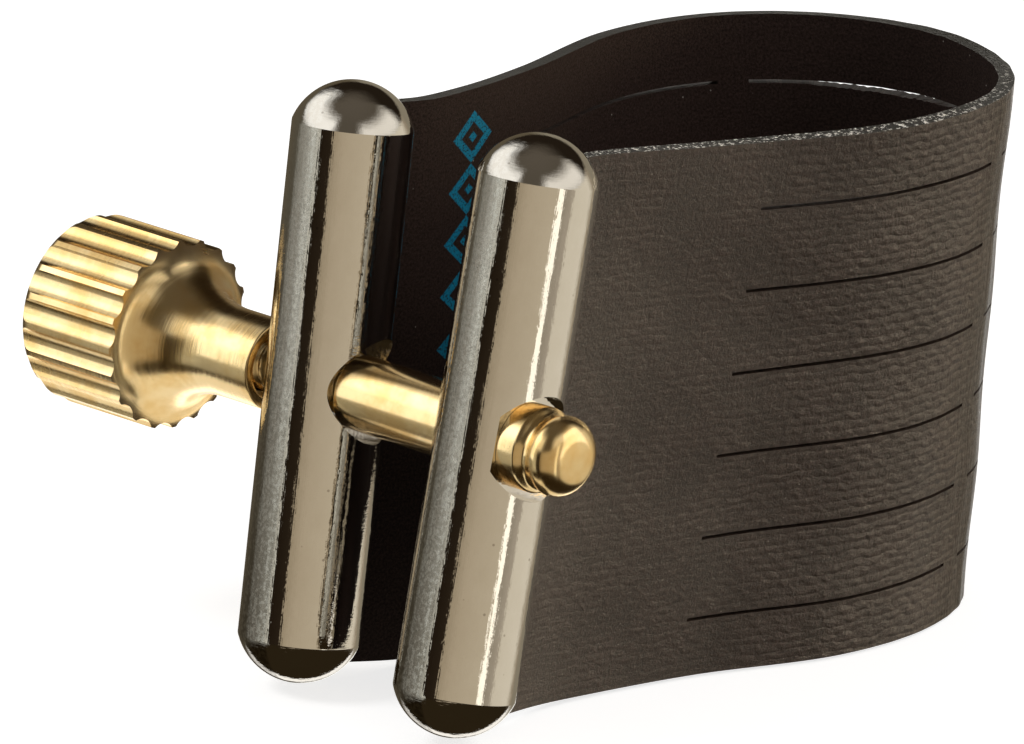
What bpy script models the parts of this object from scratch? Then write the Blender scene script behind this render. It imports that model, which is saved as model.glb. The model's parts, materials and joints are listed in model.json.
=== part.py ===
"""Saxophone ligature: a coated-fabric strap closed by two domed rods and a thumbscrew.

World frame, in metres: +Z runs up the mouthpiece's axis, +X along the thumbscrew towards its
nose, and -Y from the mouthpiece's axis to the rods.  The origin lies on the mouthpiece's axis,
in the plane that the strap's lower edge stands on.
"""
import math

import bmesh
import bpy
from mathutils import Matrix, Vector

MM = 0.001

# Where the thumbscrew's axis crosses the plane between the rods.
SCREW_Y = -22.0 * MM
SCREW_Z = 15.75 * MM

# Rods: quarter-inch bar with a shallow dome at each end.
ROD_RADIUS = 3.175 * MM
ROD_LENGTH = 31.4 * MM
DOME_HEIGHT = 2.3 * MM
ROD_X = 6.07 * MM
REAR_LEAN = math.radians(8.0)      # top towards the loop
FRONT_LEAN = math.radians(11.0)
REAR_TILT = math.radians(-2.5)     # top towards +X
FRONT_TILT = math.radians(-1.0)
REAR_TURN = math.radians(15.0)     # the rear counterbore faces a little towards the loop

HOLE_RADIUS = 2.10 * MM            # the barrel runs through it
COUNTERBORE_RADIUS = 2.75 * MM
FRONT_SEAT_X = 8.20 * MM           # the collar's seat
REAR_COUNTERBORE_FLOOR = 1.5 * MM  # from the rod's axis
SLOT_FLOOR = 2.0 * MM              # from the rod's axis to the bottom of the strap's slot
SLOT_WIDTH = 1.45 * MM

# Strap: a tapered strip, longer along its lower edge.  Each edge is a list of
# (x, y, z) from the thumbscrew's axis, and runs round the outside of the loop.
STRAP_THICKNESS = 0.85 * MM
STRAP_INSET = 2.3 * MM             # from a rod's axis to the strap's end
STRAP_TOP_END = 14.5 * MM          # along the rod, from the screw's axis
STRAP_LOWER_END = -14.75 * MM
TOP_SIDE = [(6.9, 8.0, 13.75), (9.0, 16.6, 13.25), (11.25, 25.0, 13.15), (10.2, 32.4, 13.15),
            (6.2, 37.4, 13.15)]
TOP_APEX = (0.0, 39.5, 13.15)
LOWER_SIDE = [(5.2, 6.5, -15.6), (6.4, 15.5, -15.75), (8.6, 24.0, -15.75), (8.3, 30.8, -15.75),
              (5.2, 37.0, -15.75)]
LOWER_APEX = (0.0, 39.8, -15.75)

# Slits: rows of fine cuts in three sets round the loop, parallel to the edges.
SLIT_ROWS = 6
FIRST_SLIT = 0.118                 # share of the strap's width, from the top edge
SLIT_PITCH = 0.1555
SLIT_WIDTH = 0.010                 # share of the strap's width
SIDE_SET_START = 16.2 * MM         # along an edge, from the plane of the rods
SIDE_SET_END = 32.9 * MM
MIDDLE_SET_START = 35.5 * MM

# Thumbscrew knob, turned, with a knurled head; positions are along +X from the neck's end.
NECK_FACE_X = -9.55 * MM
KNOB_LENGTH = 14.2 * MM
HEAD_RADIUS = 5.0 * MM
HEAD_LENGTH = 6.9 * MM
HEAD_ROUNDING = 1.0 * MM
NECK_RADIUS = 2.35 * MM
NECK_LENGTH = 3.0 * MM
RECESS_RADIUS = 1.8 * MM
RECESS_DEPTH = 0.8 * MM
FLUTES = 20
FLUTE_RADIUS = 0.85 * MM
FLUTE_CENTRE = 5.53 * MM
FLUTE_OVERRUN = 0.55 * MM          # the flutes scallop the start of the flare

# Threaded stud, pressed into the knob.
STUD_RADIUS = 1.42 * MM
STUD_BORE_RADIUS = 1.50 * MM
STUD_ROOT_X = -13.6 * MM
STUD_TIP_X = 4.0 * MM

# Barrel nut, turned, positions along +X from the plane between the rods.
BARREL_RADIUS = 1.95 * MM
BARREL_TAIL_X = -3.7 * MM
COLLAR_RADIUS = 2.25 * MM
COLLAR_BACK_X = 8.50 * MM
COLLAR_FRONT_X = 9.75 * MM
GROOVE_RADIUS = 1.72 * MM
NOSE_BACK_X = 9.95 * MM
NOSE_BROAD_X = 10.75 * MM
NOSE_RADIUS = 2.10 * MM
NOSE_FLAT_RADIUS = 1.25 * MM
NOSE_TIP_X = 11.75 * MM
NOSE_ROUNDING = NOSE_TIP_X - NOSE_BROAD_X
BARREL_BORE_END_X = 9.3 * MM

TURNED_STEPS = 48
CHAMFER = 0.15 * MM
ALONG_X = (0.0, math.radians(90.0), 0.0)


def clear_scene():
    for old in list(bpy.data.objects):
        bpy.data.objects.remove(old, do_unlink=True)


def new_collection(name):
    collection = bpy.data.collections.get(name) or bpy.data.collections.new(name)
    if collection.name not in bpy.context.scene.collection.children:
        bpy.context.scene.collection.children.link(collection)
    return collection


def new_material(name, colour, roughness, metallic):
    material = bpy.data.materials.new(name)
    material.use_nodes = True
    shader = material.node_tree.nodes["Principled BSDF"]
    shader.inputs["Base Color"].default_value = (*colour, 1.0)
    shader.inputs["Roughness"].default_value = roughness
    shader.inputs["Metallic"].default_value = metallic
    return material


def on_screw_axis(x):
    return Vector((x, SCREW_Y, SCREW_Z))


def arc(centre_r, centre_z, radius_r, radius_z, start, end, steps):
    """Points of an elliptical arc in the (r, z) plane; angles in degrees from +r."""
    points = []
    for i in range(steps + 1):
        angle = math.radians(start + (end - start) * i / steps)
        points.append((centre_r + radius_r * math.cos(angle), centre_z + radius_z * math.sin(angle)))
    return points


def ogee(start_r, start_z, end_r, end_z, steps):
    """Points of a smooth S from just after one (r, z) to another, level with the axis at both ends."""
    points = []
    for i in range(1, steps + 1):
        t = i / steps
        ease = t * t * (3.0 - 2.0 * t)
        points.append((start_r + (end_r - start_r) * ease, start_z + (end_z - start_z) * t))
    return points


def add_part(name, mesh, collection, material):
    part = bpy.data.objects.new(name, mesh)
    collection.objects.link(part)
    mesh.materials.append(material)
    return part


def turned(name, profile, collection, material):
    """A round piece about its own Z from a profile of (r, z) that runs from top to bottom."""
    mesh = bpy.data.meshes.new(name)
    points = [(r, 0.0, z) for r, z in profile]
    mesh.from_pydata(points, [(i, i + 1) for i in range(len(points) - 1)], [])
    part = add_part(name, mesh, collection, material)
    screw = part.modifiers.new("turn", "SCREW")
    screw.steps = screw.render_steps = TURNED_STEPS
    screw.use_merge_vertices = True
    screw.merge_threshold = 0.000001
    screw.use_smooth_shade = True
    return part


def cylinder_cutter(name, radius, start, end, collection, vertices=TURNED_STEPS):
    """A cylinder from one point to another."""
    run = end - start
    bpy.ops.mesh.primitive_cylinder_add(vertices=vertices, radius=radius, depth=run.length,
                                        location=(start + end) / 2.0)
    return as_cutter(bpy.context.object, name, run.to_track_quat("Z", "Y"), collection)


def as_cutter(cutter, name, rotation, collection):
    cutter.name = name
    cutter.rotation_euler = rotation.to_euler()
    cutter.hide_render = True
    cutter.display_type = "WIRE"
    for old in list(cutter.users_collection):
        old.objects.unlink(cutter)
    collection.objects.link(cutter)
    return cutter


def cut(part, cutter):
    boolean = part.modifiers.new(cutter.name, "BOOLEAN")
    boolean.operation = "DIFFERENCE"
    boolean.solver = "EXACT"
    boolean.object = cutter


def smooth_by_angle(part):
    part.data.shade_smooth()
    part.data.set_sharp_from_angle(angle=math.radians(35.0))


# ---------------------------------------------------------------- rods

def rod_rotation(lean, tilt):
    return Matrix.Rotation(tilt, 3, "Y") @ Matrix.Rotation(-lean, 3, "X")


def rod_profile():
    cap_radius = (ROD_RADIUS ** 2 + DOME_HEIGHT ** 2) / (2.0 * DOME_HEIGHT)
    centre_z = ROD_LENGTH / 2.0 - cap_radius
    edge = math.degrees(math.asin((cap_radius - DOME_HEIGHT) / cap_radius))
    top = arc(0.0, centre_z, cap_radius, cap_radius, 90.0, edge, 6)
    top[0] = (0.0, ROD_LENGTH / 2.0)
    return top + [(r, -z) for r, z in reversed(top)]


def make_rod(name, x, lean, tilt, parts, cutters, material):
    rotation = rod_rotation(lean, tilt)
    rod = turned(name, rod_profile(), parts, material)
    rod.location = on_screw_axis(x)
    rod.rotation_euler = rotation.to_euler()

    hole_reach = Vector((ROD_RADIUS * 1.5, 0.0, 0.0))
    hole = cylinder_cutter(name + "_hole", HOLE_RADIUS, rod.location - hole_reach,
                           rod.location + hole_reach, cutters)
    cut(rod, hole)

    slot_depth = ROD_RADIUS
    bpy.ops.mesh.primitive_cube_add(size=1.0)
    slot = bpy.context.object
    slot.data.transform(Matrix.Diagonal((SLOT_WIDTH, slot_depth, ROD_LENGTH * 1.1, 1.0)))
    slot.location = rod.location + rotation @ Vector((0.0, SLOT_FLOOR + slot_depth / 2.0, 0.0))
    cut(rod, as_cutter(slot, name + "_slot", rotation.to_quaternion(), cutters))
    return rod


def make_rods(parts, cutters):
    nickel = new_material("nickel", (0.69, 0.65, 0.58), 0.16, 1.0)
    rear = make_rod("rear_rod", -ROD_X, REAR_LEAN, REAR_TILT, parts, cutters, nickel)
    facing = Vector((math.cos(REAR_TURN), math.sin(REAR_TURN), 0.0))
    rear_bore = cylinder_cutter("rear_rod_counterbore", COUNTERBORE_RADIUS,
                                rear.location + facing * REAR_COUNTERBORE_FLOOR,
                                rear.location + facing * ROD_RADIUS * 1.5, cutters)
    cut(rear, rear_bore)

    front = make_rod("front_rod", ROD_X, FRONT_LEAN, FRONT_TILT, parts, cutters, nickel.copy())
    front_bore = cylinder_cutter("front_rod_counterbore", COUNTERBORE_RADIUS,
                                 on_screw_axis(FRONT_SEAT_X),
                                 on_screw_axis(ROD_X + ROD_RADIUS * 1.5), cutters)
    cut(front, front_bore)


# ---------------------------------------------------------------- strap

def smooth_path(points, steps=24):
    """A Catmull-Rom curve through the points, as a dense list."""
    ends = [points[0] * 2.0 - points[1]] + points + [points[-1] * 2.0 - points[-2]]
    path = []
    for p0, p1, p2, p3 in zip(ends, ends[1:], ends[2:], ends[3:]):
        for i in range(steps):
            t = i / steps
            path.append(0.5 * (2.0 * p1 + (p2 - p0) * t + (2.0 * p0 - 5.0 * p1 + 4.0 * p2 - p3) * t * t
                               + (3.0 * p1 - p0 - 3.0 * p2 + p3) * t ** 3))
    path.append(points[-1])
    return path


def strap_end(x, lean, tilt, along):
    """The strap's outer face where it enters a rod's slot."""
    outward = math.copysign(STRAP_THICKNESS / 2.0, x)
    return Vector((x, 0.0, 0.0)) + rod_rotation(lean, tilt) @ Vector((outward, STRAP_INSET, along))


def edge_path(side, apex, along):
    """One edge of the strap, from the front rod round the loop to the rear rod."""
    near = [Vector(p) * MM for p in side]
    far = [Vector((-p.x, p.y, p.z)) for p in reversed(near)]
    points = ([strap_end(ROD_X, FRONT_LEAN, FRONT_TILT, along)] + near + [Vector(apex) * MM] + far
              + [strap_end(-ROD_X, REAR_LEAN, REAR_TILT, along)])
    return smooth_path(points)


def stations_along(path):
    """The distances along an edge where a set of slits starts or ends, ends of the strap included."""
    length = path_lengths(path)[-1]
    near = [0.0] + [s - path[0].y for s in (SIDE_SET_START, SIDE_SET_END, MIDDLE_SET_START)]
    far = [length] + [length - (s - path[-1].y) for s in (SIDE_SET_START, SIDE_SET_END, MIDDLE_SET_START)]
    return near + far[::-1]


def path_lengths(path):
    lengths = [0.0]
    for a, b in zip(path, path[1:]):
        lengths.append(lengths[-1] + (b - a).length)
    return lengths


def point_at(path, lengths, distance):
    for i in range(1, len(path)):
        if distance <= lengths[i] or i == len(path) - 1:
            share = (distance - lengths[i - 1]) / (lengths[i] - lengths[i - 1])
            return path[i - 1].lerp(path[i], share)


def column_distances(stations, columns):
    """Distances for each column of the mesh, even between two stations."""
    distances = [stations[0]]
    for start, end, count in zip(stations, stations[1:], columns):
        distances += [start + (end - start) * (i + 1) / count for i in range(count)]
    return distances


def make_strap(parts):
    columns = (14, 14, 2, 18, 2, 14, 14)
    slit_columns = set()
    first = 0
    for index, count in enumerate(columns):
        if index in (1, 3, 5):
            slit_columns.update(range(first, first + count))
        first += count

    top = edge_path(TOP_SIDE, TOP_APEX, STRAP_TOP_END)
    lower = edge_path(LOWER_SIDE, LOWER_APEX, STRAP_LOWER_END)
    top_lengths, lower_lengths = path_lengths(top), path_lengths(lower)
    pairs = list(zip(column_distances(stations_along(top), columns),
                     column_distances(stations_along(lower), columns)))

    rows = [0.0]
    for i in range(SLIT_ROWS):
        middle = FIRST_SLIT + i * SLIT_PITCH
        rows += [middle - SLIT_WIDTH / 2.0, middle + SLIT_WIDTH / 2.0]
    rows.append(1.0)

    surface = bmesh.new()
    grid = []
    for on_top, on_lower in pairs:
        high = point_at(top, top_lengths, on_top)
        low = point_at(lower, lower_lengths, on_lower)
        grid.append([surface.verts.new(high.lerp(low, share)) for share in rows])
    for i in range(len(grid) - 1):
        for j in range(len(rows) - 1):
            if j % 2 == 1 and i in slit_columns:
                continue
            surface.faces.new((grid[i][j], grid[i][j + 1], grid[i + 1][j + 1], grid[i + 1][j]))
    mesh = bpy.data.meshes.new("strap")
    surface.to_mesh(mesh)
    surface.free()

    strap = add_part("strap", mesh, parts, new_material("coated_fabric", (0.045, 0.035, 0.028), 0.5, 0.0))
    strap.location = on_screw_axis(0.0)
    thickness = strap.modifiers.new("thickness", "SOLIDIFY")
    thickness.thickness = STRAP_THICKNESS
    thickness.offset = -1.0
    thickness.use_even_offset = True
    strap.data.shade_smooth()
    return strap


# ---------------------------------------------------------------- thumbscrew and barrel nut

def make_knob(parts, cutters):
    flare_radius = HEAD_RADIUS - NECK_RADIUS
    flare_length = KNOB_LENGTH - HEAD_LENGTH - NECK_LENGTH
    head_top = -(KNOB_LENGTH - HEAD_LENGTH)
    bore_floor = STUD_ROOT_X - NECK_FACE_X - 0.3 * MM
    profile = [(0.0, bore_floor), (STUD_BORE_RADIUS, bore_floor), (STUD_BORE_RADIUS, -RECESS_DEPTH),
               (RECESS_RADIUS, -RECESS_DEPTH), (RECESS_RADIUS, 0.0), (NECK_RADIUS - CHAMFER, 0.0),
               (NECK_RADIUS, -CHAMFER)]
    profile += arc(HEAD_RADIUS, -NECK_LENGTH, flare_radius, flare_length, 180.0, 270.0, 8)
    profile += [(HEAD_RADIUS, head_top - 0.3 * MM)]
    profile += arc(HEAD_RADIUS - HEAD_ROUNDING, HEAD_ROUNDING - KNOB_LENGTH,
                   HEAD_ROUNDING, HEAD_ROUNDING, 0.0, -90.0, 4)
    profile += [(0.0, -KNOB_LENGTH)]
    knob = turned("thumbscrew_knob", profile, parts, new_material("knob_brass", (0.80, 0.58, 0.27), 0.28, 1.0))
    knob.location = on_screw_axis(NECK_FACE_X)
    knob.rotation_euler = ALONG_X

    flutes = bmesh.new()
    depth = HEAD_LENGTH + 2.0 * FLUTE_OVERRUN
    middle = -KNOB_LENGTH + HEAD_LENGTH / 2.0
    for i in range(FLUTES):
        angle = 2.0 * math.pi * (i + 0.5) / FLUTES
        place = Matrix.Translation((FLUTE_CENTRE * math.cos(angle), FLUTE_CENTRE * math.sin(angle), middle))
        bmesh.ops.create_cone(flutes, cap_ends=True, segments=16, radius1=FLUTE_RADIUS,
                              radius2=FLUTE_RADIUS, depth=depth,
                              matrix=place @ Matrix.Rotation(angle, 4, "Z"))
    mesh = bpy.data.meshes.new("knob_flutes")
    flutes.to_mesh(mesh)
    flutes.free()
    cutter = bpy.data.objects.new("knob_flutes", mesh)
    cutters.objects.link(cutter)
    cutter.location = knob.location
    cut(knob, as_cutter(cutter, "knob_flutes", knob.rotation_euler.to_quaternion(), cutters))


def make_stud(parts):
    length = STUD_TIP_X - STUD_ROOT_X
    lead = 0.35 * MM
    profile = [(0.0, length), (STUD_RADIUS - lead, length), (STUD_RADIUS, length - lead),
               (STUD_RADIUS, CHAMFER), (STUD_RADIUS - CHAMFER, 0.0), (0.0, 0.0)]
    stud = turned("threaded_stud", profile, parts, new_material("stud_brass", (0.72, 0.52, 0.26), 0.35, 1.0))
    stud.location = on_screw_axis(STUD_ROOT_X)
    stud.rotation_euler = ALONG_X


def make_barrel_nut(parts):
    profile = [(0.0, NOSE_TIP_X), (NOSE_FLAT_RADIUS, NOSE_TIP_X)]
    profile += arc(NOSE_FLAT_RADIUS, NOSE_TIP_X - NOSE_ROUNDING, NOSE_RADIUS - NOSE_FLAT_RADIUS,
                   NOSE_ROUNDING, 75.0, 0.0, 5)
    profile += ogee(NOSE_RADIUS, NOSE_BROAD_X, GROOVE_RADIUS, NOSE_BACK_X, 5)
    profile += [(GROOVE_RADIUS, COLLAR_FRONT_X),
                (COLLAR_RADIUS - CHAMFER, COLLAR_FRONT_X), (COLLAR_RADIUS, COLLAR_FRONT_X - CHAMFER),
                (COLLAR_RADIUS, COLLAR_BACK_X), (BARREL_RADIUS, COLLAR_BACK_X),
                (BARREL_RADIUS, BARREL_TAIL_X + CHAMFER), (BARREL_RADIUS - CHAMFER, BARREL_TAIL_X),
                (STUD_BORE_RADIUS, BARREL_TAIL_X), (STUD_BORE_RADIUS, BARREL_BORE_END_X),
                (0.0, BARREL_BORE_END_X)]
    nut = turned("barrel_nut", profile, parts, new_material("barrel_brass", (0.78, 0.56, 0.25), 0.3, 1.0))
    nut.location = on_screw_axis(0.0)
    nut.rotation_euler = ALONG_X


def main():
    clear_scene()
    parts = new_collection("saxophone_ligature")
    cutters = new_collection("cutters")
    make_strap(parts)
    make_rods(parts, cutters)
    make_knob(parts, cutters)
    make_stud(parts)
    make_barrel_nut(parts)
    for part in parts.objects:
        if part.name != "strap":
            smooth_by_angle(part)


main()
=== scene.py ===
"""The looks of the saxophone ligature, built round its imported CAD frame.  Lengths are in metres."""
import json
import math

import bmesh
import bpy
import numpy as np
from mathutils import Matrix, Vector


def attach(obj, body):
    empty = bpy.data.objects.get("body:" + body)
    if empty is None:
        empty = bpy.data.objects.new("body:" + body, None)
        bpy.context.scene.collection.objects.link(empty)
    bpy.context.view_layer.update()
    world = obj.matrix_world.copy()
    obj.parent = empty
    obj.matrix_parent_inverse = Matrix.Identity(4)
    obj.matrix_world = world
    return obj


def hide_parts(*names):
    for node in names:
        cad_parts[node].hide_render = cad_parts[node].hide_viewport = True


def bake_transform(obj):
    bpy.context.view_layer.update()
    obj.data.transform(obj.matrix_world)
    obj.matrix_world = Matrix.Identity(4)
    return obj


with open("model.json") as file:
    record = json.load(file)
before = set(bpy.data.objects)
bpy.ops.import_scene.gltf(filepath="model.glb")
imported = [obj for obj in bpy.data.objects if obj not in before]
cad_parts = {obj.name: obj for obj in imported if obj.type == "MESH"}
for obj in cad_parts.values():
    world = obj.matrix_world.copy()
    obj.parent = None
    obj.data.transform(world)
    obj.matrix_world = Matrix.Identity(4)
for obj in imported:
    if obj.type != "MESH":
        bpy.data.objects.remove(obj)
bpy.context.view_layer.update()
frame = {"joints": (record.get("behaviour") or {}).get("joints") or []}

MM = 0.001

# The thumbscrew's axis, from the joint that turns it.
TURN = next(j for j in frame["joints"] if j["name"] == "thumbscrew_turn")
NECK_FACE_X, SCREW_Y, SCREW_Z = TURN["pos_m"]

# Rods, as in the CAD model, with a narrower slot for the strap.
ROD_RADIUS = 3.175 * MM
ROD_LENGTH = 31.4 * MM
DOME_HEIGHT = 2.3 * MM
ROD_X = 6.07 * MM
REAR_LEAN, FRONT_LEAN = math.radians(8.0), math.radians(11.0)
REAR_TILT, FRONT_TILT = math.radians(-2.5), math.radians(-1.0)
REAR_TURN = math.radians(15.0)
HOLE_RADIUS = 2.10 * MM
COUNTERBORE_RADIUS = 2.75 * MM
FRONT_SEAT_X = 8.20 * MM
REAR_COUNTERBORE_FLOOR = 1.5 * MM
DOME_START = ROD_LENGTH / 2.0 - DOME_HEIGHT
SLOT_FLOOR = 2.0 * MM
SLOT_WIDTH = 1.0 * MM

# Strap: the CAD model's outline, with finer slits whose starts lean more.
STRAP_THICKNESS = 0.85 * MM
STRAP_INSET = 2.3 * MM
STRAP_TOP_END = 14.5 * MM
STRAP_LOWER_END = -14.75 * MM
TOP_SIDE = [(6.9, 8.0, 13.75), (9.0, 16.6, 13.25), (11.25, 25.0, 13.15), (10.2, 32.4, 13.15),
            (6.2, 37.4, 13.15)]
TOP_APEX = (0.0, 39.5, 13.15)
LOWER_SIDE = [(5.2, 6.5, -15.6), (6.4, 15.5, -15.75), (8.6, 24.0, -15.75), (8.3, 30.8, -15.75),
              (5.2, 37.0, -15.75)]
LOWER_APEX = (0.0, 39.8, -15.75)
SLIT_ROWS = 6
FIRST_SLIT = 0.123
SLIT_PITCH = 0.1535
SLIT_WIDTH = 0.0062                # share of the strap's width: 0.18 mm
GAPING_SLIT = (41.8, 50.2)         # where the top slit gapes, in millimetres along the strap
GAPE = 0.20
TOP_SIDE_SET_START = 16.9 * MM
LOWER_SIDE_SET_START = 14.5 * MM
SIDE_SET_END = 32.9 * MM
MIDDLE_SET_START = 34.8 * MM
CLOTH_WIDTH = STRAP_TOP_END - STRAP_LOWER_END
INNER_FACE, CUT_EDGE = 1, 2        # the strap's material slots after its outer face, 0

# Places along the strap, in millimetres from the front rod.
BEND_MIDDLE = 41.0
FOLDS_MIDDLE, FOLDS_REACH = 41.5, 12.0
HELD_REACH = 8.0                   # the cloth lies flat up to here from each rod

# The print inside the strap, in the cloth's own millimetres.
PRINT_MIDDLE = 79.2
PRINT_HALF_WIDTH = 1.9
PRINT_PITCH = 2.7
PRINT_BOTTOM, PRINT_TOP = 0.0, 13.5

# Camera, in degrees and metres.
CAMERA_AZIMUTH = 43.4
CAMERA_ELEVATION = 16.55
CAMERA_ROLL = 2.4
CAMERA_DISTANCE = 1.0
CAMERA_LENS_MM = 689.0
CAMERA_AIM = Vector((0.0033, SCREW_Y + 0.0039, SCREW_Z + 0.0020))

# What stands round the object at its own level: (azimuth in degrees, colour), clockwise from above.
WARM_WALL = (0.24, 0.21, 0.155)
LEVEL_BANDS = [(-180.0, WARM_WALL), (-140.0, WARM_WALL), (-134.0, (0.10, 0.08, 0.05)),
               (-76.0, (0.085, 0.075, 0.055)), (-68.0, (0.26, 0.245, 0.21)), (-48.0, (0.42, 0.40, 0.35)),
               (-30.0, (0.80, 0.80, 0.73)), (-19.0, (0.66, 0.64, 0.56)), (-17.0, (0.014, 0.009, 0.005)),
               (7.0, (0.022, 0.015, 0.009)), (9.0, (0.33, 0.27, 0.185)), (30.0, (0.42, 0.35, 0.25)),
               (84.0, (0.49, 0.42, 0.31)), (86.0, (1.3, 1.22, 1.05)), (94.0, (1.3, 1.22, 1.05)),
               (96.0, (0.30, 0.26, 0.20)), (112.0, (0.38, 0.33, 0.26)), (116.0, (0.62, 0.56, 0.45)),
               (158.0, (0.66, 0.60, 0.49)), (172.0, (0.30, 0.25, 0.18)), (180.0, WARM_WALL)]


# ---------------------------------------------------------------- node graphs

class Graph:
    """A material's or world's node tree, built one node at a time."""

    def __init__(self, tree):
        self.tree = tree
        tree.nodes.clear()

    def add(self, kind, inputs=None, **settings):
        """Adds a node; each input is a value, or an output socket to link."""
        node = self.tree.nodes.new(kind)
        for name, value in settings.items():
            setattr(node, name, value)
        for name, value in (inputs or {}).items():
            socket = node.inputs[name]
            if isinstance(value, bpy.types.NodeSocket):
                self.tree.links.new(value, socket)
            else:
                socket.default_value = value
        return node

    def math(self, operation, a, b=0.0, c=0.0):
        return self.add("ShaderNodeMath", {0: a, 1: b, 2: c}, operation=operation).outputs[0]

    def remap(self, value, low, high, to_low=0.0, to_high=1.0, smooth=True):
        kind = "SMOOTHSTEP" if smooth else "LINEAR"
        node = self.add("ShaderNodeMapRange", {"Value": value, "From Min": low, "From Max": high,
                                               "To Min": to_low, "To Max": to_high}, interpolation_type=kind)
        return node.outputs["Result"]

    def window(self, value, low, high, soft):
        """1 between low and high, with soft edges."""
        return self.math("MULTIPLY", self.remap(value, low - soft, low + soft),
                         self.remap(value, high + soft, high - soft))

    def azimuth(self, parts):
        """The direction of a separated vector in degrees: 0 along -Y, growing toward +X."""
        turn = self.math("ARCTAN2", parts.outputs["X"], self.math("MULTIPLY", parts.outputs["Y"], -1.0))
        return self.math("MULTIPLY", turn, 180.0 / math.pi)

    def noise(self, vector, scale, detail=3.0, roughness=0.5, distortion=0.0):
        node = self.add("ShaderNodeTexNoise", {"Vector": vector, "Scale": scale, "Detail": detail,
                                               "Roughness": roughness, "Distortion": distortion})
        return node.outputs["Fac"]

    def stretch(self, vector, scale):
        return self.add("ShaderNodeMapping", {"Vector": vector, "Scale": scale}).outputs["Vector"]

    def mix_colour(self, factor, a, b):
        node = self.add("ShaderNodeMix", {0: factor, 6: a, 7: b}, data_type="RGBA")
        return node.outputs[2]

    def bump(self, height, distance, strength):
        inputs = {"Height": height, "Distance": distance, "Strength": strength}
        return self.add("ShaderNodeBump", inputs).outputs["Normal"]

    def ramp(self, factor, stops):
        node = self.add("ShaderNodeValToRGB", {"Fac": factor})
        ramp = node.color_ramp
        ramp.interpolation = "LINEAR"
        while len(ramp.elements) < len(stops):
            ramp.elements.new(1.0)
        for element, (position, colour) in zip(ramp.elements, stops):
            element.position = position
            element.color = (*colour, 1.0)
        return node.outputs["Color"]


def material_graph(name):
    material = bpy.data.materials.new(name)
    material.use_nodes = True
    return material, Graph(material.node_tree)


def principled(graph, inputs):
    shader = graph.add("ShaderNodeBsdfPrincipled", inputs)
    graph.add("ShaderNodeOutputMaterial", {"Surface": shader.outputs["BSDF"]})
    return shader


def rgb(red, green, blue):
    return (red, green, blue, 1.0)


# ---------------------------------------------------------------- materials

def scuffed_with_painted_shade(g, tone, place, parts, long_lines):
    """Paints shade on a strip along the rod, darker toward its lower end, and scuffs it pale."""
    around = g.azimuth(parts)
    strip = g.math("MULTIPLY", g.remap(around, -62.0, -40.0), g.remap(around, 13.0, 8.0))
    # painted shade: the strip grows darker toward the rod's lower end, mixed toward a dark grey
    wear_and_painted_shade = g.remap(parts.outputs["Z"], ROD_LENGTH * 0.45, ROD_LENGTH * -0.40, 0.0, 0.85, smooth=False)
    tone = g.mix_colour(g.math("MULTIPLY", strip, wear_and_painted_shade), tone, rgb(0.27, 0.245, 0.205))
    marks = g.math("ADD", g.noise(place, 5200.0, 2.0, 0.6), g.math("MULTIPLY", long_lines, 0.5))
    scuff = g.math("MULTIPLY", strip, g.remap(marks, 0.66, 0.86))
    return g.mix_colour(g.math("MULTIPLY", scuff, 0.40), tone, rgb(0.98, 0.97, 0.93))


def nickel_material():
    """Polished nickel with orange peel, draw lines along the bar, pits, and a scuffed strip with painted
    shade toward its lower end.
    """
    material, g = material_graph("nickel_plate")
    place = g.add("ShaderNodeTexCoord").outputs["Object"]
    peel = g.noise(place, 2400.0, 2.0)
    long_lines = g.noise(g.stretch(place, (1.0, 1.0, 0.05)), 4200.0, 3.0, 0.6)
    cross_lines = g.noise(g.stretch(place, (0.12, 0.12, 1.0)), 11000.0, 2.0, 0.5)
    patches = g.remap(g.noise(place, 300.0, 3.0), 0.40, 0.62)
    rubbed = g.math("MULTIPLY", g.math("ADD", long_lines, cross_lines),
                    g.math("MULTIPLY_ADD", patches, 0.5, 0.25))
    parts = g.add("ShaderNodeSeparateXYZ", {"Vector": place})
    straight = g.remap(g.math("ABSOLUTE", parts.outputs["Z"]), DOME_START, DOME_START - 0.6 * MM)
    grain = g.math("MULTIPLY", g.noise(place, 4200.0, 1.0), g.math("MULTIPLY", straight, 0.45))
    height = g.math("ADD", g.math("MULTIPLY", peel, 0.55), g.math("ADD", rubbed, grain))
    tone = g.mix_colour(g.noise(place, 600.0, 4.0, 0.6), rgb(0.82, 0.78, 0.71), rgb(0.93, 0.90, 0.85))
    pits = g.add("ShaderNodeTexVoronoi", {"Vector": place, "Scale": 700.0, "Randomness": 1.0})
    pit = g.remap(pits.outputs["Distance"], 0.07, 0.03)
    tone = g.mix_colour(g.math("MULTIPLY", pit, 0.5), tone, rgb(0.25, 0.21, 0.17))
    # painted shade toward the lower end of a strip, with pale scuffs on it
    tone = scuffed_with_painted_shade(g, tone, place, parts, long_lines)
    principled(g, {"Base Color": tone, "Metallic": 1.0,
                   "Roughness": g.remap(patches, 0.0, 1.0, 0.03, 0.08, smooth=False),
                   "Normal": g.bump(height, 0.000017, 0.7)})
    return material


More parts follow.
